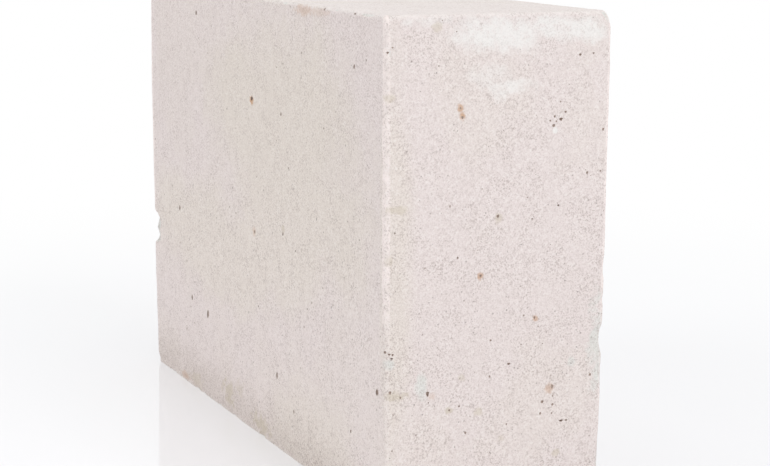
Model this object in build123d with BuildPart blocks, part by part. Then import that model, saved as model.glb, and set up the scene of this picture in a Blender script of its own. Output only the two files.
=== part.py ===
# Solid concrete foundation block, standing on its long narrow side.
#
# It is one casting. The mould is a little wider at the end that is the top here,
# so all four upright faces lean in towards the foot. The arrises are eased, one
# corner is knocked off, and the chips are the ones that stripping and handling
# leave along the arrises.
#
# Millimetres. X runs along the length, Y through the thickness, Z up, and the
# origin is the middle of the foot.

import os
from math import atan2, cos, degrees, radians, sin

from build123d import *

# Body: the sizes of the wider rectangle at the top, and how far each upright
# face comes in by the time it reaches the foot
length = 382.0
thickness = 122.0
height = 250.0
mould_draft = 1.25

# Radii of the eased arrises
upright_arris = 1.7
top_arris = 1.8
foot_arris = 1.2

# Chips on the four upright arrises. Each is a shallow scoop, as if a ball had
# been pressed in at the sharp arris: the height of its middle above the foot,
# the way it is pressed in (0 square to the end face, 90 square to the broad
# face, 45 along the diagonal), the radius of the ball and how deep it goes.
# The largest balls make the long worn stretches.
front_right_chips = [
    (232.5, 20.0, 5.0, 1.9),
    (176.0, 45.0, 14.0, 1.4),
    (131.0, 35.0, 6.0, 1.3),
    (82.0, 40.0, 5.0, 2.0),
    (24.0, 45.0, 16.0, 1.8),
]
back_right_chips = [
    (250.0, 45.0, 620.0, 1.6),
    (119.5, 45.0, 8.0, 1.7),
    (104.0, 45.0, 6.0, 1.5),
    (83.8, 5.0, 11.8, 4.1),
    (66.0, 5.0, 30.0, 1.6),
    (6.0, 45.0, 620.0, 1.9),
]
front_left_chips = [
    (250.0, 45.0, 1500.0, 2.4),
    (31.0, 45.0, 26.0, 2.0),
    (0.0, 45.0, 1500.0, 2.2),
]
back_left_chips = [
    (150.0, 45.0, 18.0, 2.0),
]

# The notch in the front left arris: a run of overlapping flakes off the broad
# face, each with its height, its distance in from the end, ball radius and depth
notch_flakes = [
    (95.5, 0.5, 6.4, 3.5),
    (95.0, 5.5, 6.0, 3.3),
    (94.0, 10.0, 5.0, 2.4),
    (84.3, 0.5, 4.6, 3.4),
    (84.0, 4.5, 5.0, 3.3),
    (85.0, 9.0, 4.6, 2.3),
]

# Chips along the front foot arris: distance of the middle from the left end,
# ball radius and depth
foot_chips = [
    (34.0, 9.0, 1.2),
    (88.0, 12.0, 1.4),
    (131.0, 8.0, 1.1),
    (206.0, 14.0, 1.4),
    (298.0, 10.0, 1.3),
]

# Chips along the front top arris, measured the same way
top_chips = [
    (246.0, 16.0, 1.8),
    (318.0, 11.0, 1.8),
    (357.0, 60.0, 1.9),
]

# Knocked corners: ball radius and depth, and how steeply the ball comes down
# on a top corner or up on a foot corner (1 is the corner's own diagonal)
back_right_top_corner = (28.0, 3.2, 2.6)
front_right_top_corner = (7.0, 2.3, 1.0)
front_left_top_corner = (10.0, 3.4, 1.0)
back_left_top_corner = (10.0, 3.2, 1.0)
front_left_foot_corner = (17.0, 5.8, 1.0)
front_right_foot_corner = (10.0, 3.2, 1.0)


def corner_point(end, side, z):
    """The point where two upright faces would meet, at this height."""
    inset = mould_draft * (1 - z / height)
    return Vector(end * (length / 2 - inset), side * (thickness / 2 - inset), z)


def scoop(place, outward, ball, depth):
    """Takes a shallow bowl out of the casting at a sharp edge or corner."""
    centre = place + outward.normalized() * (ball - depth)
    with Locations(centre):
        Sphere(ball, mode=Mode.SUBTRACT)


def chip_upright_arris(end, side, chips):
    """Chips one upright arris at each height in the list."""
    for z, turn, ball, depth in chips:
        outward = Vector(end * cos(radians(turn)), side * sin(radians(turn)), 0)
        scoop(corner_point(end, side, z), outward, ball, depth)


def flake_broad_face(end, side, flakes):
    """Takes flakes off a broad face beside one of its upright arrises."""
    for z, inwards, ball, depth in flakes:
        place = corner_point(end, side, z) - Vector(end * inwards, 0, 0)
        scoop(place, Vector(0, side, 0), ball, depth)


def chip_long_arris(side, z, outward_z, chips):
    """Chips a long arris at the foot or the top, measured from the left end."""
    for along, ball, depth in chips:
        edge = corner_point(-1, side, z)
        place = Vector(along - length / 2, edge.Y, z)
        scoop(place, Vector(0, side, outward_z), ball, depth)


def knock_corner(end, side, z, outward_z, corner):
    """Breaks one corner of the casting off in a shallow bowl."""
    ball, depth, steepness = corner
    outward = Vector(end, side, outward_z * steepness)
    scoop(corner_point(end, side, z), outward, ball, depth)


with BuildPart() as foundation_block:
    # The body, with its four upright faces drawn in from the top rim to the foot
    with BuildSketch(Plane.XY):
        Rectangle(length, thickness)
    extrude(amount=height)
    upright_faces = foundation_block.faces().filter_by(Axis.Z, reverse=True)
    top_rim = Plane.XY.offset(height)
    draft(upright_faces, top_rim, -degrees(atan2(mould_draft, height)))

    # Eased arrises: the four uprights first, then the rims they run into
    uprights = foundation_block.edges().group_by(Axis.Z)[1]
    fillet(uprights, upright_arris)
    fillet(foundation_block.faces().sort_by(Axis.Z)[-1].edges(), top_arris)
    fillet(foundation_block.faces().sort_by(Axis.Z)[0].edges(), foot_arris)

    # Chips along the arrises
    chip_upright_arris(1, -1, front_right_chips)
    chip_upright_arris(1, 1, back_right_chips)
    chip_upright_arris(-1, -1, front_left_chips)
    chip_upright_arris(-1, 1, back_left_chips)
    flake_broad_face(-1, -1, notch_flakes)
    chip_long_arris(-1, 0, -1, foot_chips)
    chip_long_arris(-1, height, 1, top_chips)

    # Knocked corners
    knock_corner(1, 1, height, 1, back_right_top_corner)
    knock_corner(1, -1, height, 1, front_right_top_corner)
    knock_corner(-1, -1, height, 1, front_left_top_corner)
    knock_corner(-1, 1, height, 1, back_left_top_corner)
    knock_corner(-1, -1, 0, -1, front_left_foot_corner)
    knock_corner(1, -1, 0, -1, front_right_foot_corner)

foundation_block.part.label = "foundation_block"

os.makedirs("parts", exist_ok=True)
export_step(foundation_block.part, "parts/foundation_block.step")
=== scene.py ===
"""A solid concrete foundation block that stands on its long narrow side.

The block is one casting. Its shape comes from the frame: a drafted body with eased and chipped arrises.
This script turns that shape into weathered concrete, with a slightly uneven mould face, crumbling
arrises and the open voids that the mould leaves, and gives it its sandy, speckled, rust-spotted finish.
"""

import sys
import logging
from dataclasses import dataclass, field, fields
from enum import Enum
from math import radians

import bmesh
import bpy
from mathutils import Matrix, Vector


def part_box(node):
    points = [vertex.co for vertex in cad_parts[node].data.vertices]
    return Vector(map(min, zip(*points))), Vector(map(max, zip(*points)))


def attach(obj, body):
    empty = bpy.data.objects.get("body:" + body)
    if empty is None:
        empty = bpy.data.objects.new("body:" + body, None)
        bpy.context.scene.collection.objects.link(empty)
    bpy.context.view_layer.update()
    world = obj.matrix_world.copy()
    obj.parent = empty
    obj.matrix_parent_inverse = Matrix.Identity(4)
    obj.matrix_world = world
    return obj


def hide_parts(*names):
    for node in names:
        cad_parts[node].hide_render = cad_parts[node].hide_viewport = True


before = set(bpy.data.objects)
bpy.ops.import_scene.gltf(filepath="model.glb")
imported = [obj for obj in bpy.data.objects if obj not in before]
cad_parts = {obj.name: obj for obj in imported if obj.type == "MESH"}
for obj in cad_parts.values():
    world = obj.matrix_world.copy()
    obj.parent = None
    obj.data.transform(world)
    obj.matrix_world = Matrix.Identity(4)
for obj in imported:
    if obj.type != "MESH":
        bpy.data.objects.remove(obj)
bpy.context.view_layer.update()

MM = 0.001
WHOLE_TURN = (6.28, 6.28, 6.28)
log = logging.getLogger("foundation_block")

Socket = bpy.types.NodeSocket
Colour = tuple[float, float, float, float]
Inputs = dict[str | int, object]


def srgb(red: int, green: int, blue: int) -> Colour:
    """Turns a colour as a screen shows it, 0 to 255, into the linear colour that a shader takes.

    Args:
        red: Red as shown.
        green: Green as shown.
        blue: Blue as shown.

    Returns:
        The linear colour, with full alpha.
    """
    def linear(shown: int) -> float:
        """One channel, by the sRGB curve."""
        share = shown / 255
        return share / 12.92 if share <= 0.04045 else ((share + 0.055) / 1.055) ** 2.4

    return linear(red), linear(green), linear(blue), 1.0


class Wiring:
    """Adds nodes to one tree and joins them up, so that a tree reads as a list of steps."""

    def __init__(self, tree: bpy.types.NodeTree) -> None:
        """Keeps the tree that the nodes go into."""
        self.tree = tree

    def feed(self, socket: Socket, value: object) -> None:
        """Links a socket to another socket, or sets it to a plain value."""
        if isinstance(value, Socket):
            self.tree.links.new(value, socket)
        else:
            socket.default_value = value

    def add(self, kind: str, inputs: Inputs | None = None, **settings: object) -> bpy.types.Node:
        """Adds one node.

        Args:
            kind: The node's type name.
            inputs: What each input takes, by its name or number: a socket or a plain value.
            **settings: The node's own settings.

        Returns:
            The node.
        """
        node = self.tree.nodes.new(kind)
        for name, setting in settings.items():
            setattr(node, name, setting)
        for key, value in (inputs or {}).items():
            self.feed(node.inputs[key], value)
        return node

    def math(self, operation: str, first: object, second: object = 0.0) -> Socket:
        """One step of arithmetic on numbers."""
        return self.add("ShaderNodeMath", {0: first, 1: second}, operation=operation).outputs[0]

    def plus(self, first: object, second: object) -> Socket:
        """The sum of two numbers."""
        return self.math("ADD", first, second)

    def minus(self, first: object, second: object) -> Socket:
        """The first number less the second."""
        return self.math("SUBTRACT", first, second)

    def times(self, first: object, second: object) -> Socket:
        """The product of two numbers."""
        return self.math("MULTIPLY", first, second)

    def larger(self, first: object, second: object) -> Socket:
        """The larger of two numbers."""
        return self.math("MAXIMUM", first, second)

    def smaller(self, first: object, second: object) -> Socket:
        """The smaller of two numbers."""
        return self.math("MINIMUM", first, second)

    def vector_math(self, operation: str, first: object, second: object) -> Socket:
        """One step of arithmetic on vectors; the result is a vector."""
        return self.add("ShaderNodeVectorMath", {0: first, 1: second}, operation=operation).outputs[0]

    def length(self, vector: object) -> Socket:
        """How long a vector is."""
        return self.add("ShaderNodeVectorMath", {0: vector}, operation="LENGTH").outputs["Value"]

    def scale(self, vector: object, factor: object) -> Socket:
        """A vector made longer by a factor."""
        node = self.add("ShaderNodeVectorMath", {0: vector, "Scale": factor}, operation="SCALE")
        return node.outputs[0]

    def ramp(
        self, value: object, low: object, high: object, at_low: object = 0.0, at_high: object = 1.0
    ) -> Socket:
        """A smooth step from at_low to at_high as the value goes from low to high."""
        inputs = {0: value, 1: low, 2: high, 3: at_low, 4: at_high}
        return self.add("ShaderNodeMapRange", inputs, interpolation_type="SMOOTHSTEP").outputs[0]

    def noise(self, vector: object, scale: object, detail: float = 2.0, roughness: float = 0.5) -> Socket:
        """Smooth noise from 0 to 1 with an average near a half."""
        inputs = {"Vector": vector, "Scale": scale, "Detail": detail, "Roughness": roughness}
        return self.add("ShaderNodeTexNoise", inputs).outputs[0]

    def mix_colour(self, share: object, under: object, over: object) -> Socket:
        """Lays one colour over another by a share."""
        node = self.add("ShaderNodeMix", {0: share, 6: under, 7: over}, data_type="RGBA")
        return node.outputs[2]

    def group(self, tree: bpy.types.NodeTree, inputs: dict[str, object]) -> bpy.types.Node:
        """Places a node group and feeds its named inputs."""
        kind = "ShaderNodeGroup" if tree.bl_idname == "ShaderNodeTree" else "GeometryNodeGroup"
        node = self.tree.nodes.new(kind)
        node.node_tree = tree
        for name, value in inputs.items():
            self.feed(node.inputs[name], value)
        return node


class Kind(Enum):
    """The kinds of value that a group's input or output may hold."""

    NUMBER = "NodeSocketFloat"
    VECTOR = "NodeSocketVector"
    GEOMETRY = "NodeSocketGeometry"
    MATERIAL = "NodeSocketMaterial"
    OBJECT = "NodeSocketObject"
    WHOLE = "NodeSocketInt"


@dataclass
class Recipe:
    """A node group under construction: its tree, its wiring and its two end nodes."""

    name: str
    tree_type: str
    inputs: dict[str, Kind]
    outputs: dict[str, Kind]

    def __post_init__(self) -> None:
        """Makes the tree with its named sockets."""
        self.tree = bpy.data.node_groups.new(self.name, self.tree_type)
        for name, kind in self.inputs.items():
            self.tree.interface.new_socket(name, in_out="INPUT", socket_type=kind.value)
        for name, kind in self.outputs.items():
            self.tree.interface.new_socket(name, in_out="OUTPUT", socket_type=kind.value)
        self.wiring = Wiring(self.tree)
        self.given = self.tree.nodes.new("NodeGroupInput").outputs
        self.result = self.tree.nodes.new("NodeGroupOutput").inputs

    def hand_out(self, **values: Socket) -> bpy.types.NodeTree:
        """Joins the finished values to the outputs of the same names and returns the tree."""
        for name, value in values.items():
            self.wiring.feed(self.result[name], value)
        return self.tree


@dataclass(frozen=True)
class BlockSizes:
    """The sizes of the casting, in metres: its box from the frame, and how the mould leans and eases it."""

    half_length: float
    half_thickness: float
    height: float
    lean: float = 1.25 / 250.0
    easing: float = 1.7 * MM


@dataclass(frozen=True)
class Knock:
    """A small blow that wears the skin back, in millimetres: its middle, its reach each way and its depth."""

    middle: tuple[float, float, float]
    half: tuple[float, float, float]
    depth: float


@dataclass(frozen=True)
class SkinWear:
    """How uneven the cast skin is, in metres and per metre.

    The swell makes up for what the unevenness takes off on average, and the burr is the thin lip of
    cement that the mould leaves round the foot.
    """

    swell: float = 0.3 * MM
    burr_depth: float = 0.8 * MM
    burr_reach: float = 2.2 * MM
    wave_height: float = 0.22 * MM
    wave_scale: float = 14.0
    lump_height: float = 0.16 * MM
    lump_scale: float = 130.0
    crumble_depth: float = 0.32 * MM
    crumble_scale: float = 320.0
    crumble_reach: float = 2.4 * MM
    nick_depth: float = 1.1 * MM
    nick_scale: float = 95.0

    def by_socket(self) -> dict[str, float]:
        """The sizes under the names of the tree's inputs, such as Wave Height."""
        return {item.name.replace("_", " ").title(): getattr(self, item.name) for item in fields(self)}


KNOCKS = (
    Knock((-187.0, -60.5, 89.5), (10.0, 6.0, 4.5), 2.2),
    Knock((191.0, 61.0, 250.0), (9.0, 9.0, 9.0), 2.2),
)


class Face(Enum):
    """The faces of the block that carry marks of their own."""

    END = "the end that faces the camera, at +X"
    BROAD = "the broad face that faces the camera, at -Y"


VOID_STANDS_OUT = 0.28 * MM


@dataclass(frozen=True)
class Void:
    """One void that the mould face left open, in millimetres on its face. One in a chip is sunk."""

    face: Face
    along: float
    up: float
    wide: float
    tall: float
    sunk: float = 0.0

    def place(self, sizes: BlockSizes) -> Vector:
        """Where the void's middle is: a little outside the leaning face, so that the void is shallow."""
        up = self.up * MM
        inset = sizes.lean * (sizes.height - up) - VOID_STANDS_OUT + self.sunk * MM
        if self.face is Face.END:
            return Vector((sizes.half_length - inset, self.along * MM, up))
        return Vector((self.along * MM, -sizes.half_thickness + inset, up))


OPEN_VOIDS = (
    Void(Face.END, 43.0, 229.0, 0.8, 0.65),
    Void(Face.END, 50.5, 229.5, 0.65, 0.45),
    Void(Face.END, 29.5, 199.0, 0.65, 0.65),
    Void(Face.END, 33.0, 197.5, 1.1, 0.8),
    Void(Face.END, 35.5, 201.0, 0.65, 0.5),
    Void(Face.END, 29.0, 194.5, 0.9, 0.8),
    Void(Face.END, 57.0, 191.5, 0.7, 0.8),
    Void(Face.END, 48.5, 170.0, 0.6, 0.85),
    Void(Face.END, 32.5, 154.5, 0.7, 0.5),
    Void(Face.END, 18.0, 148.5, 0.5, 0.5),
    Void(Face.END, -27.0, 157.5, 0.45, 0.65),
    Void(Face.END, -1.0, 151.0, 0.8, 0.8),
    Void(Face.END, -21.0, 200.5, 0.8, 0.7),
    Void(Face.END, -22.0, 205.0, 0.55, 0.55),
    Void(Face.END, -10.0, 122.0, 0.65, 0.65),
    Void(Face.END, 20.5, 98.5, 0.6, 0.7),
    Void(Face.END, 14.5, 100.0, 0.5, 0.55),
    Void(Face.END, 6.5, 76.0, 0.9, 0.6),
    Void(Face.END, -4.0, 70.5, 0.45, 0.65),
    Void(Face.END, 31.5, 62.0, 0.8, 1.1),
    Void(Face.END, 31.5, 48.0, 0.5, 0.6),
    Void(Face.END, 32.0, 57.0, 0.5, 0.6),
    Void(Face.END, 27.0, 197.0, 0.55, 0.5),
    Void(Face.END, 30.5, 196.5, 0.6, 0.5),
    Void(Face.END, -60.0, 232.5, 0.75, 0.65, 1.5),
    Void(Face.END, -58.0, 235.0, 0.55, 0.45),
    Void(Face.END, -58.6, 86.6, 0.7, 0.5),
    Void(Face.END, -56.8, 86.3, 0.6, 0.6),
    Void(Face.END, -57.3, 84.4, 0.7, 0.5, 0.3),
    Void(Face.END, 53.5, 66.0, 0.95, 0.9),
    Void(Face.END, -38.0, 65.0, 0.9, 1.3),
    Void(Face.END, -52.5, 64.5, 0.5, 0.6),
    Void(Face.END, -58.0, 67.5, 0.7, 0.9),
    Void(Face.END, 26.0, 54.5, 0.9, 0.85),
    Void(Face.END, 25.0, 48.5, 0.6, 0.8),
    Void(Face.END, 32.0, 52.5, 0.75, 0.75),
    Void(Face.END, 37.0, 43.5, 1.2, 0.6),
    Void(Face.END, 40.0, 43.5, 0.9, 0.45),
    Void(Face.END, -17.0, 43.0, 0.65, 0.65),
    Void(Face.END, -26.0, 55.5, 0.65, 0.55),
    Void(Face.END, 6.0, 45.0, 0.6, 0.55),
    Void(Face.BROAD, 3.0, 193.0, 1.7, 1.2),
    Void(Face.BROAD, -95.0, 235.5, 1.4, 1.4),
    Void(Face.BROAD, 151.5, 223.0, 0.9, 1.2),
    Void(Face.BROAD, 49.0, 189.0, 0.9, 1.1),
    Void(Face.BROAD, -134.0, 110.5, 1.3, 1.8),
    Void(Face.BROAD, -81.0, 52.5, 1.6, 2.6),
    Void(Face.BROAD, -123.5, 34.5, 0.65, 1.1),
    Void(Face.BROAD, -112.0, 57.0, 1.3, 1.8),
    Void(Face.BROAD, 5.5, 117.5, 0.75, 1.1),
    Void(Face.BROAD, 50.5, 123.5, 0.8, 1.0),
    Void(Face.BROAD, 81.5, 78.0, 0.55, 0.7),
    Void(Face.BROAD, 39.0, 41.5, 1.1, 2.0),
    Void(Face.BROAD, 65.0, 27.0, 0.8, 1.1),
    Void(Face.BROAD, 179.5, 65.5, 1.5, 1.6),
    Void(Face.BROAD, 188.8, 87.6, 0.9, 0.7),
    Void(Face.BROAD, 112.5, 248.9, 1.2, 0.8),
    Void(Face.BROAD, 152.5, 248.8, 1.1, 0.5),
    Void(Face.BROAD, 146.0, 37.0, 0.8, 0.9),
)


@dataclass(frozen=True)
class Patch:
    """A soft-edged mark on the concrete: its middle and half sizes in millimetres, and how ragged it is."""

    middle: tuple[float, float, float]
    half: tuple[float, float, float]
    ragged: float = 0.5
    strength: float = 1.0


@dataclass(frozen=True)
class Marks:
    """The patches of one kind, and how fine their ragged edges are, per metre."""

    rag_scale: float
    patches: tuple[Patch, ...]


RUST_SPOTS = Marks(600.0, (
    Patch((190.0, -22.0, 205.0), (4.0, 2.1, 2.3), 0.5, 0.8),
    Patch((190.0, -21.0, 201.0), (4.0, 1.9, 2.2), 0.5, 0.9),
    Patch((190.0, -10.0, 121.5), (4.0, 2.1, 2.1), 0.5, 0.8),
    Patch((190.0, 21.0, 98.0), (4.0, 1.7, 2.0), 0.5, 0.7),
    Patch((190.0, 29.8, 61.0), (4.0, 2.8, 3.0), 0.5, 0.5),
    Patch((190.0, -35.5, 63.5), (4.0, 2.0, 2.4), 0.5, 0.25),
    Patch((3.0, -60.0, 192.0), (4.0, 4.0, 2.8), 0.5),
    Patch((4.5, -60.0, 117.5), (3.0, 4.0, 3.2), 0.5, 0.35),
    Patch((84.0, -61.0, 246.8), (15.0, 4.0, 3.2), 0.8, 0.38),
    Patch((106.0, -61.0, 247.0), (16.0, 4.0, 2.6), 0.8, 0.2),
    Patch((-128.0, -60.0, 3.0), (9.0, 4.0, 3.0), 0.9, 0.4),
))

STAINS = Marks(260.0, (
    Patch((190.0, -35.0, 244.0), (4.0, 3.4, 3.0), 0.6, 0.7),
    Patch((190.0, -59.5, 211.0), (4.0, 3.0, 2.8), 0.6, 0.8),
    Patch((190.0, -54.0, 157.0), (4.0, 7.0, 2.2), 0.6, 0.7),
    Patch((190.0, -0.5, 150.0), (4.0, 2.6, 2.8), 0.6, 0.8),
    Patch((190.0, -59.0, 132.0), (4.0, 2.4, 3.0), 0.6, 0.6),
    Patch((190.0, -54.5, 65.3), (4.0, 9.0, 2.6), 0.8, 0.8),
    Patch((190.0, -26.0, 55.5), (4.0, 2.4, 2.2), 0.6, 0.9),
    Patch((190.0, -10.0, 53.0), (4.0, 3.0, 2.4), 0.6, 0.8),
    Patch((190.0, -19.5, 71.5), (4.0, 2.0, 1.8), 0.6, 0.6),
    Patch((190.0, 34.5, 27.0), (4.0, 2.6, 2.4), 0.6, 0.8),
    Patch((190.0, 3.0, 38.0), (4.0, 2.2, 2.0), 0.6, 0.5),
    Patch((51.0, -60.0, 126.0), (3.0, 4.0, 2.6), 0.5, 0.8),
    Patch((-43.0, -60.0, 12.0), (12.0, 4.0, 7.0), 1.4, 0.9),
    Patch((-24.0, -60.0, 19.0), (7.0, 4.0, 5.0), 1.4, 0.5),
    Patch((12.0, -60.0, 6.0), (14.0, 4.0, 6.0), 1.4, 0.9),
    Patch((-105.0, -60.0, 5.0), (12.0, 4.0, 5.0), 1.4, 0.6),
))

BLOOM_PATCHES = Marks(75.0, (
    Patch((190.0, -12.0, 240.5), (8.0, 17.0, 9.5), 0.6),
    Patch((190.0, 7.0, 240.0), (8.0, 17.0, 10.5), 0.6),
    Patch((190.0, 26.0, 242.5), (8.0, 14.0, 7.0), 0.6),
    Patch((190.0, 44.0, 242.0), (8.0, 18.0, 8.0), 0.6),
    Patch((190.0, -50.5, 246.5), (8.0, 5.0, 4.0), 0.8, 0.6),
    Patch((190.0, -38.0, 248.0), (8.0, 12.0, 3.6), 0.8, 0.5),
    Patch((190.0, 4.0, 214.0), (8.0, 13.0, 7.5), 0.8, 0.9),
    Patch((190.0, -6.0, 219.5), (8.0, 16.0, 6.5), 0.9, 0.5),
    Patch((190.0, 30.0, 192.1), (6.0, 1.3, 1.6), 0.6),
))

RUBBED_PATCHES = Marks(150.0, (
    Patch((190.0, 58.0, 80.0), (6.0, 6.5, 26.0), 0.8, 0.75),
    Patch((190.0, 42.5, 74.0), (6.0, 3.6, 3.4), 0.5, 0.8),
    Patch((190.0, -41.3, 68.5), (6.0, 3.6, 7.4), 0.4),
    Patch((190.0, -58.2, 81.3), (6.0, 3.4, 3.4), 0.4),
))

WARM_PATCHES = Marks(16.0, (
    Patch((35.0, -60.0, 190.0), (150.0, 8.0, 58.0), 0.5),
    Patch((60.0, -60.0, 135.0), (120.0, 8.0, 55.0), 0.5),
    Patch((-70.0, -60.0, 100.0), (160.0, 8.0, 42.0), 0.5),
    Patch((90.0, -60.0, 20.0), (90.0, 8.0, 40.0), 0.5),
    # Partly painted shade: this patch darkens the end face slightly towards the near arris as well as warming
    # it.
    Patch((190.0, -60.0, 120.0), (8.0, 14.0, 150.0), 0.4, 0.7),
))


def edge_gaps(wiring: Wiring, position: Socket, sizes: BlockSizes) -> tuple[Socket, Socket, Socket]:
    """How far a point lies inside the sharp, leaning form of the casting.

    Args:
        wiring: The tree to add the steps to.
        position: The point, in the block's own frame.
        sizes: The casting's sizes.

    Returns:
        The gaps to the nearer end face, the nearer broad face, and the nearer of top and foot.
    """
    parts = wiring.add("ShaderNodeSeparateXYZ", {0: position}).outputs
    below_top = wiring.minus(sizes.height, parts[2])
    inset = wiring.times(below_top, sizes.lean)
    end_plane = wiring.minus(sizes.half_length, inset)
    broad_plane = wiring.minus(sizes.half_thickness, inset)
    end_gap = wiring.minus(end_plane, wiring.math("ABSOLUTE", parts[0]))
    broad_gap = wiring.minus(broad_plane, wiring.math("ABSOLUTE", parts[1]))
    rim_gap = wiring.smaller(parts[2], below_top)
    return end_gap, broad_gap, rim_gap


def arris_distance(wiring: Wiring, gaps: tuple[Socket, Socket, Socket]) -> Socket:
    """How far a point on the skin is from the nearest arris: the middle one of its three gaps."""
    end_gap, broad_gap, rim_gap = gaps
    lower = wiring.smaller(end_gap, broad_gap)
    upper = wiring.larger(end_gap, broad_gap)
    return wiring.larger(lower, wiring.smaller(upper, rim_gap))


def depth_below_skin(wiring: Wiring, gaps: tuple[Socket, Socket, Socket], easing: float) -> Socket:
    """How deep a point lies below the eased form: nothing on the skin, more on a chip.

    Args:
        wiring: The tree to add the steps to.
        gaps: The point's three gaps to the sharp form.
        easing: The radius of the eased arrises.

    Returns:
        The depth in metres.
    """
    reaches = [wiring.larger(wiring.minus(easing, gap), 0.0) for gap in gaps]
    corner = wiring.add("ShaderNodeCombineXYZ", {0: reaches[0], 1: reaches[1], 2: reaches[2]}).outputs[0]
    return wiring.minus(easing, wiring.length(corner))


class ConcreteGroups:
    """The effects that the cast skin and the void walls share, each a node group built once."""

    def __init__(self) -> None:
        """Builds the groups."""
        self.sand = self.build_sand()
        self.pinholes = self.build_pinholes()
        self.patch = self.build_patch()

    @staticmethod
    def build_sand() -> bpy.types.NodeTree:
        """Sandy grain: fine unevenness, single grains, and short furrows that wander between them.

        Returns:
            A group that puts out a tone, from 0 for dark to 1 for pale, and the furrows' share.
        """
        recipe = Recipe(
            "sandy_grain",
            "ShaderNodeTree",
            {"Vector": Kind.VECTOR, "Grains Per Metre": Kind.NUMBER},
            {"Tone": Kind.NUMBER, "Furrow": Kind.NUMBER},
        )
        wiring, given = recipe.wiring, recipe.given
        place, grains = given["Vector"], given["Grains Per Metre"]
        fine = wiring.ramp(wiring.noise(place, grains, 2.0, 0.6), 0.3, 0.7)
        cell_size = wiring.times(grains, 0.85)
        cells = wiring.add("ShaderNodeTexVoronoi", {"Vector": place, "Scale": cell_size})
        grain = wiring.add("ShaderNodeSeparateColor", {0: cells.outputs["Color"]}).outputs[0]
        elsewhere = wiring.vector_math("ADD", place, (0.31, 0.17, 0.23))
        ridge = wiring.noise(elsewhere, wiring.times(grains, 0.7), 1.0)
        off_ridge = wiring.math("ABSOLUTE", wiring.minus(ridge, 0.5))
        kept = wiring.ramp(wiring.noise(elsewhere, wiring.times(grains, 0.55), 1.0), 0.46, 0.54)
        furrow = wiring.times(wiring.ramp(off_ridge, 0.05, 0.015), kept)
        tone = wiring.plus(wiring.times(fine, 0.6), wiring.times(grain, 0.4))
        tone = wiring.minus(tone, wiring.times(furrow, 0.45))
        return recipe.hand_out(Tone=tone, Furrow=furrow)

    @staticmethod
    def build_pinholes() -> bpy.types.NodeTree:
        """Pinholes: small ragged holes in a share of the cells of a coarse pattern.

        Returns:
            A group that puts out how far inside a pinhole a point is, from 0 to 1.
        """
        recipe = Recipe(
            "pinholes",
            "ShaderNodeTree",
            {
                "Vector": Kind.VECTOR, "Cells Per Metre": Kind.NUMBER,
                "Share": Kind.NUMBER, "Radius": Kind.NUMBER,
            },
            {"Hole": Kind.NUMBER},
        )
        wiring, given = recipe.wiring, recipe.given
        place, density = given["Vector"], given["Cells Per Metre"]
        cells = wiring.add("ShaderNodeTexVoronoi", {"Vector": place, "Scale": density})
        chance = wiring.add("ShaderNodeSeparateColor", {0: cells.outputs["Color"]}).outputs
        picked = wiring.math("LESS_THAN", chance[0], given["Share"])
        own_radius = wiring.times(given["Radius"], wiring.plus(chance[1], 0.4))
        in_cells = wiring.times(own_radius, density)
        rag = wiring.minus(wiring.noise(place, wiring.times(density, 4.0), 1.0), 0.5)
        unevenness = wiring.times(rag, wiring.times(in_cells, 2.4))
        distance = wiring.plus(cells.outputs["Distance"], unevenness)
        inside = wiring.ramp(distance, in_cells, wiring.times(in_cells, 0.5))
        return recipe.hand_out(Hole=wiring.times(picked, inside))

    @staticmethod
    def build_patch() -> bpy.types.NodeTree:
        """A soft, ragged patch of a given half size round a point.

        Returns:
            A group that puts out the patch's share, from 0 to 1.
        """
        recipe = Recipe(
            "ragged_patch",
            "ShaderNodeTree",
            {
                "Vector": Kind.VECTOR, "Middle": Kind.VECTOR, "Half Size": Kind.VECTOR,
                "Ragged": Kind.NUMBER, "Rag Scale": Kind.NUMBER,
            },
            {"Share": Kind.NUMBER},
        )
        wiring, given = recipe.wiring, recipe.given
        offset = wiring.vector_math("SUBTRACT", given["Vector"], given["Middle"])
        distance = wiring.length(wiring.vector_math("DIVIDE", offset, given["Half Size"]))
        rag = wiring.minus(wiring.noise(given["Vector"], given["Rag Scale"], 4.0, 0.6), 0.5)
        unevenness = wiring.times(rag, wiring.times(given["Ragged"], 3.0))
        ragged = wiring.plus(distance, unevenness)
        return recipe.hand_out(Share=wiring.ramp(ragged, 1.15, 0.45))


@dataclass
class SkinSite:
    """Where a point of the skin is, and how strongly each part of the block marks it."""

    place: Socket
    up: Socket
    on_broad_face: Socket
    near_arris: Socket
    # Pale dust and a painted arris highlight, on the broad face beside the ends.
    dusted: Socket
    broken: Socket

    @classmethod
    def read(cls, wiring: Wiring, sizes: BlockSizes) -> "SkinSite":
        """Works the site out from the point's place in the block's own frame."""
        place = wiring.add("ShaderNodeTexCoord").outputs["Object"]
        parts = wiring.add("ShaderNodeSeparateXYZ", {0: place}).outputs
        gaps = edge_gaps(wiring, place, sizes)
        on_broad_face = wiring.ramp(gaps[1], 2.4 * MM, 1.2 * MM)
        beside_end = wiring.ramp(gaps[0], 5.5 * MM, 3.5 * MM)
        above_foot = wiring.ramp(parts[2], 84.0 * MM, 118.0 * MM)
        return cls(
            place=place,
            up=parts[2],
            on_broad_face=on_broad_face,
            # Pale dust and a painted highlight on the broad face beside the ends, above the foot.
            dusted=wiring.times(wiring.times(beside_end, above_foot), on_broad_face),
            near_arris=wiring.ramp(arris_distance(wiring, gaps), 2.6 * MM, 0.5 * MM),
            broken=wiring.ramp(depth_below_skin(wiring, gaps, sizes.easing), 0.55 * MM, 1.0 * MM),
        )


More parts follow.
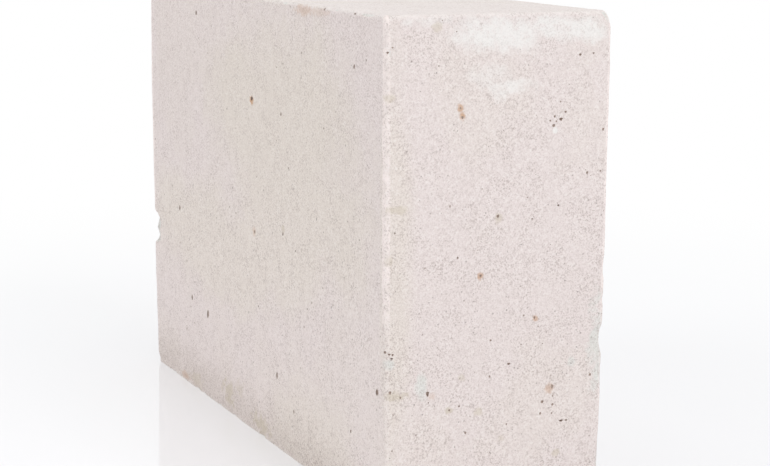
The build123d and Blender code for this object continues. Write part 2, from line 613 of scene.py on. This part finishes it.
def empty_material(name: str) -> tuple[bpy.types.Material, Wiring]:
    """Makes a material whose tree is still empty, and the wiring to fill it with."""
    material = bpy.data.materials.new(name)
    material.use_nodes = True
    material.node_tree.nodes.clear()
    return material, Wiring(material.node_tree)


@dataclass(frozen=True)
class Pinholes:
    """One size of pinhole: the pattern's cells per metre, the share of them with a hole, and its radius."""

    cells: float
    share: float
    radius: float


@dataclass(frozen=True)
class ConcreteFinish:
    """The finish of the cast skin: sandy, matt, pale pinkish grey."""

    pink_paste: Colour = srgb(232, 221, 218)
    beige_paste: Colour = srgb(230, 221, 211)
    dark_grain: Colour = srgb(180, 166, 160)
    pale_grain: Colour = srgb(247, 242, 239)
    # The painted shade inside a pinhole.
    hole: Colour = srgb(122, 106, 100)
    rust: Colour = srgb(196, 146, 98)
    ochre: Colour = srgb(202, 190, 166)
    bloom: Colour = srgb(242, 240, 237)
    # Pale dust; the same colour paints the highlight along the arrises and the light from the floor low on
    # the broad face.
    dust: Colour = srgb(250, 239, 235)
    foot_stain: Colour = srgb(203, 192, 182)
    raw: Colour = srgb(224, 224, 219)
    grains_per_metre: float = 1250.0
    small_pinholes: Pinholes = Pinholes(400.0, 0.22, 0.36 * MM)
    large_pinholes: Pinholes = Pinholes(150.0, 0.1, 0.5 * MM)
    relief: float = 0.2 * MM
    smoothest: float = 0.82
    roughest: float = 0.96


class SkinPainter:
    """Lays the finish of the cast skin into one material, one layer over the other."""

    def __init__(self, finish: ConcreteFinish, groups: ConcreteGroups, sizes: BlockSizes) -> None:
        """Starts the material with its paste.

        Args:
            finish: The colours and scales of the skin.
            groups: The shared effects.
            sizes: The casting's sizes.
        """
        self.finish = finish
        self.groups = groups
        self.top = sizes.height
        self.material, self.wiring = empty_material("sandy_concrete_skin")
        self.site = SkinSite.read(self.wiring, sizes)
        self.foot = self.foot_share()
        self.bloom = self.bloom_share()
        self.bare = self.wiring.minus(1.0, self.wiring.times(self.bloom, 0.6))
        self.coarse = self.noise(240.0, 2.0, 0.6)
        self.colour = self.paste()

    def paint(self) -> bpy.types.Material:
        """Lays every layer.

        Returns:
            The material of the cast skin.
        """
        self.lay_foot_and_bloom()
        self.lay_broken_and_dusty()
        tone = self.lay_sand()
        holes = self.lay_pinholes()
        self.lay_stains()
        self.close_with_relief(tone, holes)
        return self.material

    def noise(self, scale: float, detail: float = 2.0, roughness: float = 0.5) -> Socket:
        """Smooth noise at the point, with its scale per metre."""
        return self.wiring.noise(self.site.place, scale, detail, roughness)

    def lay(self, share: object, over: Colour) -> None:
        """Lays a colour over what is there, by a share."""
        self.colour = self.wiring.mix_colour(share, self.colour, over)

    def share_of(self, marks: Marks) -> Socket:
        """How strongly the strongest patch of one kind marks the point."""
        strongest: Socket | float = 0.0
        for patch in marks.patches:
            node = self.wiring.group(self.groups.patch, {
                "Vector": self.site.place, "Middle": Vector(patch.middle) * MM,
                "Half Size": Vector(patch.half) * MM, "Ragged": patch.ragged, "Rag Scale": marks.rag_scale,
            })
            share = self.wiring.times(node.outputs["Share"], patch.strength)
            strongest = self.wiring.larger(share, strongest)
        return strongest

    def foot_share(self) -> Socket:
        """The damp, browner band along the foot, with a ragged upper edge."""
        wiring = self.wiring
        edge = wiring.plus(self.site.up, wiring.times(self.noise(45.0, 3.0), 30.0 * MM))
        return wiring.ramp(edge, 46.0 * MM, 18.0 * MM)

    def bloom_share(self) -> Socket:
        """White bloom along the top and in patches, mottled."""
        wiring = self.wiring
        patches = self.share_of(BLOOM_PATCHES)
        on_top = wiring.ramp(self.site.up, self.top - 2.5 * MM, self.top - 0.6 * MM, 0.0, 0.5)
        mottled = wiring.ramp(self.noise(280.0, 3.0, 0.6), 0.3, 0.6, 0.5, 1.0)
        return wiring.times(wiring.larger(patches, on_top), mottled)

    def paste(self) -> Socket:
        """The paste's two drifting tones, the painted light from the floor low on the broad face, and the
        faint upright grain of the mould board.
        """
        wiring, site, finish = self.wiring, self.site, self.finish
        drift = wiring.ramp(self.noise(13.0, 4.0, 0.55), 0.46, 0.62, 0.0, 0.25)
        beige = wiring.larger(drift, wiring.times(self.share_of(WARM_PATCHES), 0.85))
        colour = wiring.mix_colour(beige, finish.pink_paste, finish.beige_paste)
        # Painted light: the broad face grows paler towards the foot, where the bright floor lights it.
        painted_floor_light = wiring.ramp(site.up, 200.0 * MM, 30.0 * MM, 0.0, 0.25)
        painted_floor_light = wiring.times(painted_floor_light, site.on_broad_face)
        colour = wiring.mix_colour(painted_floor_light, colour, finish.dust)
        drawn_out = wiring.vector_math("MULTIPLY", site.place, (380.0, 380.0, 22.0))
        board = wiring.ramp(wiring.noise(drawn_out, 1.0, 2.0), 0.5, 0.3, 0.0, 0.07)
        return wiring.mix_colour(wiring.times(board, site.on_broad_face), colour, finish.dark_grain)

    def lay_foot_and_bloom(self) -> None:
        """Browns the foot and whitens the bloom."""
        wiring = self.wiring
        browned = wiring.times(self.foot, wiring.ramp(self.site.on_broad_face, 0.0, 1.0, 0.15, 0.4))
        self.lay(browned, self.finish.foot_stain)
        self.lay(wiring.times(self.bloom, 0.85), self.finish.bloom)

    def lay_broken_and_dusty(self) -> None:
        """Raw concrete where the skin is broken or rubbed, then the paler arrises: pale dust, which also
        paints the highlight along the arrises, widest on the broad face beside the ends.
        """
        wiring, site = self.wiring, self.site
        bared = wiring.larger(site.broken, self.share_of(RUBBED_PATCHES))
        self.lay(wiring.times(bared, 0.85), self.finish.raw)
        band_mottle = wiring.ramp(self.noise(150.0), 0.35, 0.6, 0.35, 0.85)
        # Painted highlight along the arrises, laid as pale dust: a thin band on every arris and a wider one
        # on the broad face beside the ends.
        dust_and_highlight = wiring.larger(wiring.times(site.near_arris, 0.25), wiring.times(site.dusted, 1.3))
        self.lay(wiring.times(dust_and_highlight, band_mottle), self.finish.dust)

    def lay_sand(self) -> Socket:
        """Dark and pale grains, stronger in some places, half hidden where the bloom lies over them.

        Returns:
            The sand's tone, which its relief follows.
        """
        wiring, finish = self.wiring, self.finish
        sand = wiring.group(self.groups.sand, {
            "Vector": self.site.place, "Grains Per Metre": finish.grains_per_metre,
        }).outputs
        tone = wiring.plus(sand["Tone"], wiring.ramp(self.coarse, 0.3, 0.7, -0.06, 0.06))
        strength = wiring.ramp(self.noise(65.0, 3.0), 0.35, 0.65, 0.3, 0.66)
        strength = wiring.plus(strength, wiring.times(self.foot, 0.3))
        dark = wiring.times(wiring.ramp(tone, 0.48, 0.0, 0.0, strength), self.bare)
        self.lay(dark, finish.dark_grain)
        self.lay(wiring.ramp(tone, 0.52, 0.95, 0.0, 0.5), finish.pale_grain)
        return tone

    def lay_pinholes(self) -> Socket:
        """Pinholes of two sizes, in loose swarms and thicker lower down, darkened with painted shade.

        Returns:
            The share of a hole at each point.
        """
        wiring = self.wiring
        swarm = wiring.ramp(self.noise(42.0), 0.5, 0.68)
        lower = wiring.ramp(self.site.up, 120.0 * MM, 20.0 * MM, 0.0, 0.35)
        thick = wiring.plus(wiring.times(swarm, 0.3), lower)
        small, large = [
            wiring.group(self.groups.pinholes, {
                "Vector": self.site.place, "Cells Per Metre": size.cells, "Radius": size.radius,
                "Share": wiring.plus(thick, size.share),
            }).outputs["Hole"]
            for size in (self.finish.small_pinholes, self.finish.large_pinholes)
        ]
        holes = wiring.times(wiring.larger(small, large), self.bare)
        # Painted shade: the pinholes are only in the shader, so their colour is darkened as if shaded inside.
        self.lay(wiring.times(holes, 0.5), self.finish.hole)
        return holes

    def lay_stains(self) -> None:
        """Ochre stains, and rust over them."""
        self.lay(self.wiring.times(self.share_of(STAINS), 0.5), self.finish.ochre)
        self.lay(self.wiring.times(self.share_of(RUST_SPOTS), 0.75), self.finish.rust)

    def close_with_relief(self, tone: Socket, holes: Socket) -> None:
        """Gives the skin its relief and its shader: grains stand out, furrows and pinholes go in."""
        wiring, finish = self.wiring, self.finish
        height = wiring.minus(tone, wiring.times(holes, 1.6))
        bump = wiring.add("ShaderNodeBump", {"Strength": 0.6, "Distance": finish.relief, "Height": height})
        rough = wiring.ramp(self.coarse, 0.2, 0.8, finish.smoothest, finish.roughest)
        shader = wiring.add("ShaderNodeBsdfPrincipled", {
            "Base Color": self.colour, "Roughness": rough, "Normal": bump.outputs[0],
            "Specular IOR Level": 0.25,
        })
        wiring.add("ShaderNodeOutputMaterial", {"Surface": shader.outputs[0]})


@dataclass(frozen=True)
class VoidFinish:
    """The finish of the voids' walls: the same sand, painted darker and browner as the shade inside the
    voids.
    """

    # Both wall colours are painted shade, darker than the skin.
    wall: Colour = srgb(198, 180, 170)
    dirt: Colour = srgb(148, 130, 118)
    grains_per_metre: float = 1500.0
    relief: float = 0.15 * MM

    def make(self, groups: ConcreteGroups) -> bpy.types.Material:
        """Builds the material of the void walls from the shared sand."""
        material, wiring = empty_material("void_wall")
        place = wiring.add("ShaderNodeTexCoord").outputs["Object"]
        sand = wiring.group(groups.sand, {
            "Vector": place, "Grains Per Metre": self.grains_per_metre,
        }).outputs
        # Painted shade: the walls run from the darker to the lighter shade colour, to darken the voids beyond
        # their own shadow.
        colour = wiring.mix_colour(sand["Tone"], self.dirt, self.wall)
        bump = wiring.add("ShaderNodeBump", {
            "Strength": 0.6, "Distance": self.relief, "Height": sand["Tone"],
        })
        rough = wiring.ramp(sand["Furrow"], 0.0, 1.0, 0.9, 0.98)
        shader = wiring.add("ShaderNodeBsdfPrincipled", {
            "Base Color": colour, "Roughness": rough, "Normal": bump.outputs[0], "Specular IOR Level": 0.2,
        })
        wiring.add("ShaderNodeOutputMaterial", {"Surface": shader.outputs[0]})
        return material


def set_inputs(modifier: bpy.types.Modifier, values: dict[str, object]) -> None:
    """Sets a Geometry Nodes modifier's inputs by the identifiers of its named sockets."""
    for item in modifier.node_group.interface.items_tree:
        if item.item_type == "SOCKET" and item.in_out == "INPUT" and item.name in values:
            modifier[item.identifier] = values[item.name]


def object_of(name: str, mesh: bpy.types.Mesh) -> bpy.types.Object:
    """Puts a mesh into the scene as an object at the origin."""
    piece = bpy.data.objects.new(name, mesh)
    bpy.context.scene.collection.objects.link(piece)
    return piece


def settled_mesh(piece: bpy.types.Object, name: str) -> bpy.types.Mesh:
    """The mesh that an object's modifiers make, as a plain mesh of its own."""
    graph = bpy.context.evaluated_depsgraph_get()
    mesh = bpy.data.meshes.new_from_object(piece.evaluated_get(graph), depsgraph=graph)
    mesh.name = name
    return mesh


@dataclass
class FoundationBlock:
    """The casting: its form from the frame, weathered, opened with voids and dressed."""

    node: str = "foundation_block"
    grid: float = 0.8 * MM
    skin_triangles: int = 115_000
    voids_per_square_metre: float = 1900.0
    smallest_void: float = 0.24 * MM
    largest_void: float = 0.62 * MM
    seed: int = 7
    sharp_from: float = 42.0
    wear: SkinWear = field(default_factory=SkinWear)
    skin: ConcreteFinish = field(default_factory=ConcreteFinish)
    void: VoidFinish = field(default_factory=VoidFinish)

    def __post_init__(self) -> None:
        """Reads the casting's sizes from the frame."""
        self.low, self.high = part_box(self.node)
        self.sizes = BlockSizes(
            half_length=(self.high.x - self.low.x) / 2,
            half_thickness=(self.high.y - self.low.y) / 2,
            height=self.high.z,
        )
        groups = ConcreteGroups()
        self.skin_material = SkinPainter(self.skin, groups, self.sizes).paint()
        self.void_material = self.void.make(groups)

    def core_mesh(self) -> bpy.types.Mesh:
        """A merged copy of the node's mesh, closed and ready to be gridded."""
        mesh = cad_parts[self.node].data.copy()
        work = bmesh.new()
        work.from_mesh(mesh)
        bmesh.ops.remove_doubles(work, verts=work.verts, dist=0.001 * MM)
        bmesh.ops.recalc_face_normals(work, faces=work.faces)
        work.to_mesh(mesh)
        work.free()
        mesh.materials.clear()
        return mesh

    def weathering_tree(self) -> bpy.types.NodeTree:
        """The tree that makes the skin uneven, crumbles its arrises and lays the knocks."""
        inputs = {"Geometry": Kind.GEOMETRY, "Material": Kind.MATERIAL}
        inputs.update({name: Kind.NUMBER for name in self.wear.by_socket()})
        recipe = Recipe("weathered_casting", "GeometryNodeTree", inputs, {"Geometry": Kind.GEOMETRY})
        wiring, given = recipe.wiring, recipe.given
        place = wiring.add("GeometryNodeInputPosition").outputs[0]
        normal = wiring.add("GeometryNodeInputNormal").outputs[0]
        distance = arris_distance(wiring, edge_gaps(wiring, place, self.sizes))

        wave = wiring.noise(place, given["Wave Scale"], 2.0)
        wave = wiring.ramp(wave, 0.36, 0.64, 0.0, given["Wave Height"])
        lump = wiring.noise(place, given["Lump Scale"], 3.0)
        lump = wiring.ramp(lump, 0.34, 0.66, 0.0, given["Lump Height"])
        near = wiring.ramp(distance, given["Crumble Reach"], 0.0)
        grit = wiring.noise(place, given["Crumble Scale"], 3.0, 0.65)
        crumble = wiring.times(wiring.times(near, grit), given["Crumble Depth"])
        loss = wiring.ramp(wiring.noise(place, given["Nick Scale"], 2.0), 0.6, 0.8)
        nick = wiring.times(wiring.times(near, loss), given["Nick Depth"])
        depth = wiring.plus(wiring.plus(wave, lump), wiring.plus(crumble, nick))
        depth = wiring.minus(depth, given["Swell"])
        up = wiring.add("ShaderNodeSeparateXYZ", {0: place}).outputs[2]
        burr = wiring.ramp(up, 0.0, given["Burr Reach"], given["Burr Depth"], 0.0)
        depth = wiring.minus(depth, burr)
        for knock in KNOCKS:
            offset = wiring.vector_math("SUBTRACT", place, Vector(knock.middle) * MM)
            away = wiring.length(wiring.vector_math("DIVIDE", offset, Vector(knock.half) * MM))
            depth = wiring.plus(depth, wiring.ramp(away, 0.0, 1.0, knock.depth * MM, 0.0))

        inwards = wiring.scale(normal, wiring.times(depth, -1.0))
        shaped = wiring.add("GeometryNodeSetPosition", {"Geometry": given["Geometry"], "Offset": inwards})
        realized = wiring.add("GeometryNodeRealizeInstances", {0: shaped.outputs[0]})
        dressed = wiring.add("GeometryNodeSetMaterial", {0: realized.outputs[0], 2: given["Material"]})
        return recipe.hand_out(Geometry=dressed.outputs[0])

    def weathered_body(self) -> bpy.types.Mesh:
        """Grids the core finely, weathers the skin and thins the flats."""
        body = object_of("casting_core", self.core_mesh())
        grid = body.modifiers.new("grid", "REMESH")
        grid.mode = "VOXEL"
        grid.voxel_size = self.grid
        weather = body.modifiers.new("weather", "NODES")
        weather.node_group = self.weathering_tree()
        set_inputs(weather, {"Material": self.skin_material, **self.wear.by_socket()})
        fine = settled_mesh(body, "fine_casting")
        log.info("fine skin: %d faces", len(fine.polygons))
        bpy.data.objects.remove(body)

        body = object_of("fine_casting", fine)
        thin = body.modifiers.new("thin", "DECIMATE")
        thin.ratio = self.skin_triangles / (2 * len(fine.polygons))
        thinned = settled_mesh(body, "thin_casting")
        bpy.data.objects.remove(body)
        log.info("thinned skin: %d faces", len(thinned.polygons))
        return thinned

    def marked_voids(self) -> bpy.types.Object:
        """The voids that can be told one by one, as points that carry their half sizes."""
        mesh = bpy.data.meshes.new("marked_voids")
        mesh.from_pydata([void.place(self.sizes) for void in OPEN_VOIDS], [], [])
        half = mesh.attributes.new("half_size", "FLOAT_VECTOR", "POINT")
        for item, void in zip(half.data, OPEN_VOIDS):
            across = Vector((void.wide, void.wide, void.tall))
            item.vector = across * MM
        return object_of("marked_voids", mesh)

    def void_tree(self) -> bpy.types.NodeTree:
        """The tree that holds the body to its box, then cuts the scattered and the marked voids out of it."""
        inputs = {
            "Geometry": Kind.GEOMETRY, "Marked Voids": Kind.OBJECT, "Voids Per Square Metre": Kind.NUMBER,
            "Smallest": Kind.NUMBER, "Largest": Kind.NUMBER, "Seed": Kind.WHOLE, "Wall": Kind.MATERIAL,
            "Low Corner": Kind.VECTOR, "High Corner": Kind.VECTOR,
        }
        recipe = Recipe("open_voids", "GeometryNodeTree", inputs, {"Geometry": Kind.GEOMETRY})
        wiring, given = recipe.wiring, recipe.given

        place = wiring.add("GeometryNodeInputPosition").outputs[0]
        held = wiring.vector_math("MAXIMUM", place, given["Low Corner"])
        held = wiring.vector_math("MINIMUM", held, given["High Corner"])
        inside = wiring.add("GeometryNodeSetPosition", {"Geometry": given["Geometry"], "Position": held})
        body = inside.outputs[0]
        scattered = wiring.add("GeometryNodeDistributePointsOnFaces", {
            "Mesh": body, "Density": given["Voids Per Square Metre"], "Seed": given["Seed"],
        }, distribute_method="RANDOM")
        chance = wiring.add("FunctionNodeRandomValue", {
            2: 0.0, 3: 1.0, "Seed": given["Seed"],
        }, data_type="FLOAT")
        skewed = wiring.math("POWER", chance.outputs[1], 3.0)
        spread = wiring.minus(given["Largest"], given["Smallest"])
        radius = wiring.plus(given["Smallest"], wiring.times(skewed, spread))
        turn = wiring.add("FunctionNodeRandomValue", {
            1: WHOLE_TURN, "Seed": given["Seed"],
        }, data_type="FLOAT_VECTOR")
        small_ones = wiring.add("GeometryNodeInstanceOnPoints", {
            "Points": scattered.outputs[0], "Instance": self.pebble(wiring, subdivisions=2, unevenness=0.55),
            "Scale": radius, "Rotation": turn.outputs[0],
        })

        marked = wiring.add("GeometryNodeObjectInfo", {0: given["Marked Voids"]}).outputs["Geometry"]
        half = wiring.add("GeometryNodeInputNamedAttribute", {
            "Name": "half_size",
        }, data_type="FLOAT_VECTOR")
        large_ones = wiring.add("GeometryNodeInstanceOnPoints", {
            "Points": marked, "Instance": self.pebble(wiring, subdivisions=3, unevenness=0.4),
            "Scale": half.outputs[0],
        })
        both = wiring.add("GeometryNodeJoinGeometry")
        wiring.feed(both.inputs[0], small_ones.outputs[0])
        wiring.feed(both.inputs[0], large_ones.outputs[0])
        cutters = wiring.add("GeometryNodeRealizeInstances", {0: both.outputs[0]})
        walls = wiring.add("GeometryNodeStoreNamedAttribute", {
            "Geometry": cutters.outputs[0], "Name": "wall", "Value": True,
        }, data_type="BOOLEAN", domain="FACE")
        cut = wiring.add("GeometryNodeMeshBoolean", {
            "Mesh 1": body, "Mesh 2": walls.outputs[0],
        }, operation="DIFFERENCE", solver="MANIFOLD")
        realized = wiring.add("GeometryNodeRealizeInstances", {0: cut.outputs[0]})
        is_wall = wiring.add("GeometryNodeInputNamedAttribute", {"Name": "wall"}, data_type="BOOLEAN")
        dressed = wiring.add("GeometryNodeSetMaterial", {
            0: realized.outputs[0], 1: is_wall.outputs[0], 2: given["Wall"],
        })
        return recipe.hand_out(Geometry=dressed.outputs[0])

    @staticmethod
    def pebble(wiring: Wiring, subdivisions: int, unevenness: float) -> Socket:
        """A ball of radius one with an uneven surface, the shape of one void."""
        ball = wiring.add("GeometryNodeMeshIcoSphere", {"Radius": 1.0, "Subdivisions": subdivisions})
        place = wiring.add("GeometryNodeInputPosition").outputs[0]
        swell = wiring.minus(wiring.noise(place, 1.3, 2.0), 0.5)
        grown = wiring.plus(wiring.times(swell, unevenness * 3.0), 1.0)
        moved = wiring.scale(place, grown)
        pebble = wiring.add("GeometryNodeSetPosition", {"Geometry": ball.outputs[0], "Position": moved})
        return pebble.outputs[0]

    def build(self) -> bpy.types.Object:
        """Builds the dressed block.

        Returns:
            The one piece, which stands for the node.
        """
        body = object_of("block_with_voids", self.weathered_body())
        marks = self.marked_voids()
        voids = body.modifiers.new("voids", "NODES")
        voids.node_group = self.void_tree()
        set_inputs(voids, {
            "Marked Voids": marks, "Voids Per Square Metre": self.voids_per_square_metre,
            "Smallest": self.smallest_void, "Largest": self.largest_void, "Seed": self.seed,
            "Wall": self.void_material, "Low Corner": self.low, "High Corner": self.high,
        })
        mesh = settled_mesh(body, "dressed_block")
        bpy.data.objects.remove(body)
        bpy.data.objects.remove(marks)
        mesh.shade_smooth()
        mesh.set_sharp_from_angle(angle=radians(self.sharp_from))
        block = object_of("dressed_block", mesh)
        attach(block, "root")
        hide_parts(self.node)
        mesh.calc_loop_triangles()
        log.info("dressed block: %d faces, %d triangles, materials %s", len(mesh.polygons),
                 len(mesh.loop_triangles), [m.name for m in mesh.materials])
        return block


@dataclass(frozen=True)
class Viewpoint:
    """Where the block is looked at from, in metres and degrees, with the lens in picture widths."""

    place: tuple[float, float, float] = (1.0229, -0.4272, 0.3046)
    yaw: float = 66.265
    pitch: float = 9.86
    roll: float = 0.30
    focal_pixels: float = 1931.0
    picture_width: float = 770.0
    sensor_width: float = 36.0

    def build(self) -> bpy.types.Object:
        """Sets up the camera and makes it the scene's own."""
        data = bpy.data.cameras.new("viewpoint")
        data.sensor_width = self.sensor_width
        data.lens = self.focal_pixels / self.picture_width * self.sensor_width
        data.clip_start = 0.01
        data.clip_end = 100.0
        camera = bpy.data.objects.new("viewpoint", data)
        turn = (
            Matrix.Rotation(radians(self.yaw), 4, "Z")
            @ Matrix.Rotation(radians(90 - self.pitch), 4, "X")
            @ Matrix.Rotation(radians(self.roll), 4, "Z")
        )
        camera.matrix_world = Matrix.Translation(self.place) @ turn
        bpy.context.scene.collection.objects.link(camera)
        bpy.context.scene.camera = camera
        return camera


@dataclass(frozen=True)
class Softbox:
    """One soft lamp: where it is, what it faces, how large and how strong it is."""

    name: str
    place: tuple[float, float, float]
    aim: tuple[float, float, float]
    size: float
    power: float

    def build(self) -> bpy.types.Object:
        """Hangs the lamp."""
        data = bpy.data.lights.new(self.name, "AREA")
        data.shape = "SQUARE"
        data.size = self.size
        data.energy = self.power
        lamp = bpy.data.objects.new(self.name, data)
        lamp.location = self.place
        direction = Vector(self.aim) - Vector(self.place)
        lamp.rotation_euler = direction.to_track_quat("-Z", "Y").to_euler()
        bpy.context.scene.collection.objects.link(lamp)
        return lamp


@dataclass
class Studio:
    """The white table, the white surroundings and the soft lamps.

    The table lies a little below the foot, and rays shorter than table_open pass through it.
    """

    sky_level: float = 0.6
    table_half: float = 3.0
    table_white: Colour = srgb(249, 250, 254)
    table_roughness: float = 0.06
    table_index: float = 3.6
    table_below: float = 0.05 * MM
    table_open: float = 0.4 * MM
    table_fades_from: float = 0.15
    table_white_from: float = 0.9
    boxes: tuple[Softbox, ...] = (
        Softbox("right_box", (2.4, 0.6, 1.7), (0.0, 0.0, 0.12), 1.6, 25.0),
        Softbox("left_box", (-0.6, -2.4, 1.6), (0.0, 0.0, 0.12), 1.6, 16.0),
        Softbox("top_box", (0.0, 0.0, 2.4), (0.0, 0.0, 0.1), 1.8, 10.0),
    )

    def table(self) -> bpy.types.Object:
        """A large, glossy white table top that runs out into plain white away from the block.

        It is clear from below and for light on its way to the foot, so that the foot can be looked at.
        """
        half, level = self.table_half, -self.table_below
        corners = [(-half, -half, level), (half, -half, level), (half, half, level), (-half, half, level)]
        mesh = bpy.data.meshes.new("table_top")
        mesh.from_pydata(corners, [], [(0, 1, 2, 3)])
        material, wiring = empty_material("glossy_white_table")
        shader = wiring.add("ShaderNodeBsdfPrincipled", {
            "Base Color": self.table_white, "Roughness": self.table_roughness, "IOR": self.table_index,
        })
        place = wiring.add("ShaderNodeTexCoord").outputs["Object"]
        away = wiring.ramp(wiring.length(place), self.table_fades_from, self.table_white_from, 0.3, 1.0)
        ray = wiring.add("ShaderNodeLightPath").outputs
        white = wiring.add("ShaderNodeEmission", {"Strength": 1.0})
        seen = wiring.times(away, ray["Is Camera Ray"])
        faded = wiring.add("ShaderNodeMixShader", {0: seen, 1: shader.outputs[0], 2: white.outputs[0]})
        clear = wiring.add("ShaderNodeBsdfTransparent")
        below = wiring.add("ShaderNodeNewGeometry").outputs["Backfacing"]
        under_foot = wiring.math("LESS_THAN", ray["Ray Length"], self.table_open)
        opened = wiring.larger(below, under_foot)
        both = wiring.add("ShaderNodeMixShader", {0: opened, 1: faded.outputs[0], 2: clear.outputs[0]})
        wiring.add("ShaderNodeOutputMaterial", {"Surface": both.outputs[0]})
        mesh.materials.append(material)
        table = object_of("table_top", mesh)
        return table

    def surroundings(self) -> None:
        """White wherever the camera or a reflection looks, and a plain soft level of light elsewhere."""
        world = bpy.data.worlds.new("white_surroundings")
        world.use_nodes = True
        world.node_tree.nodes.clear()
        wiring = Wiring(world.node_tree)
        ray = wiring.add("ShaderNodeLightPath").outputs
        through = wiring.larger(ray["Is Glossy Ray"], ray["Is Transmission Ray"])
        seen = wiring.larger(ray["Is Camera Ray"], through)
        strength = wiring.ramp(seen, 0.0, 1.0, self.sky_level, 1.0)
        light = wiring.add("ShaderNodeBackground", {"Color": (1.0, 1.0, 1.0, 1.0), "Strength": strength})
        wiring.add("ShaderNodeOutputWorld", {"Surface": light.outputs[0]})
        bpy.context.scene.world = world

    def build(self) -> None:
        """Sets up the whole studio."""
        self.table()
        self.surroundings()
        for box in self.boxes:
            box.build()
        bpy.context.scene.view_settings.view_transform = "Standard"


def main() -> None:
    """Builds the block, then the studio and the camera, and reports each piece."""
    logging.basicConfig(level=logging.INFO, format="%(name)s: %(message)s", stream=sys.stdout)
    block = FoundationBlock().build()
    log.info("built %s", block.name)
    Studio().build()
    Viewpoint().build()


if __name__ == "__main__":
    main()
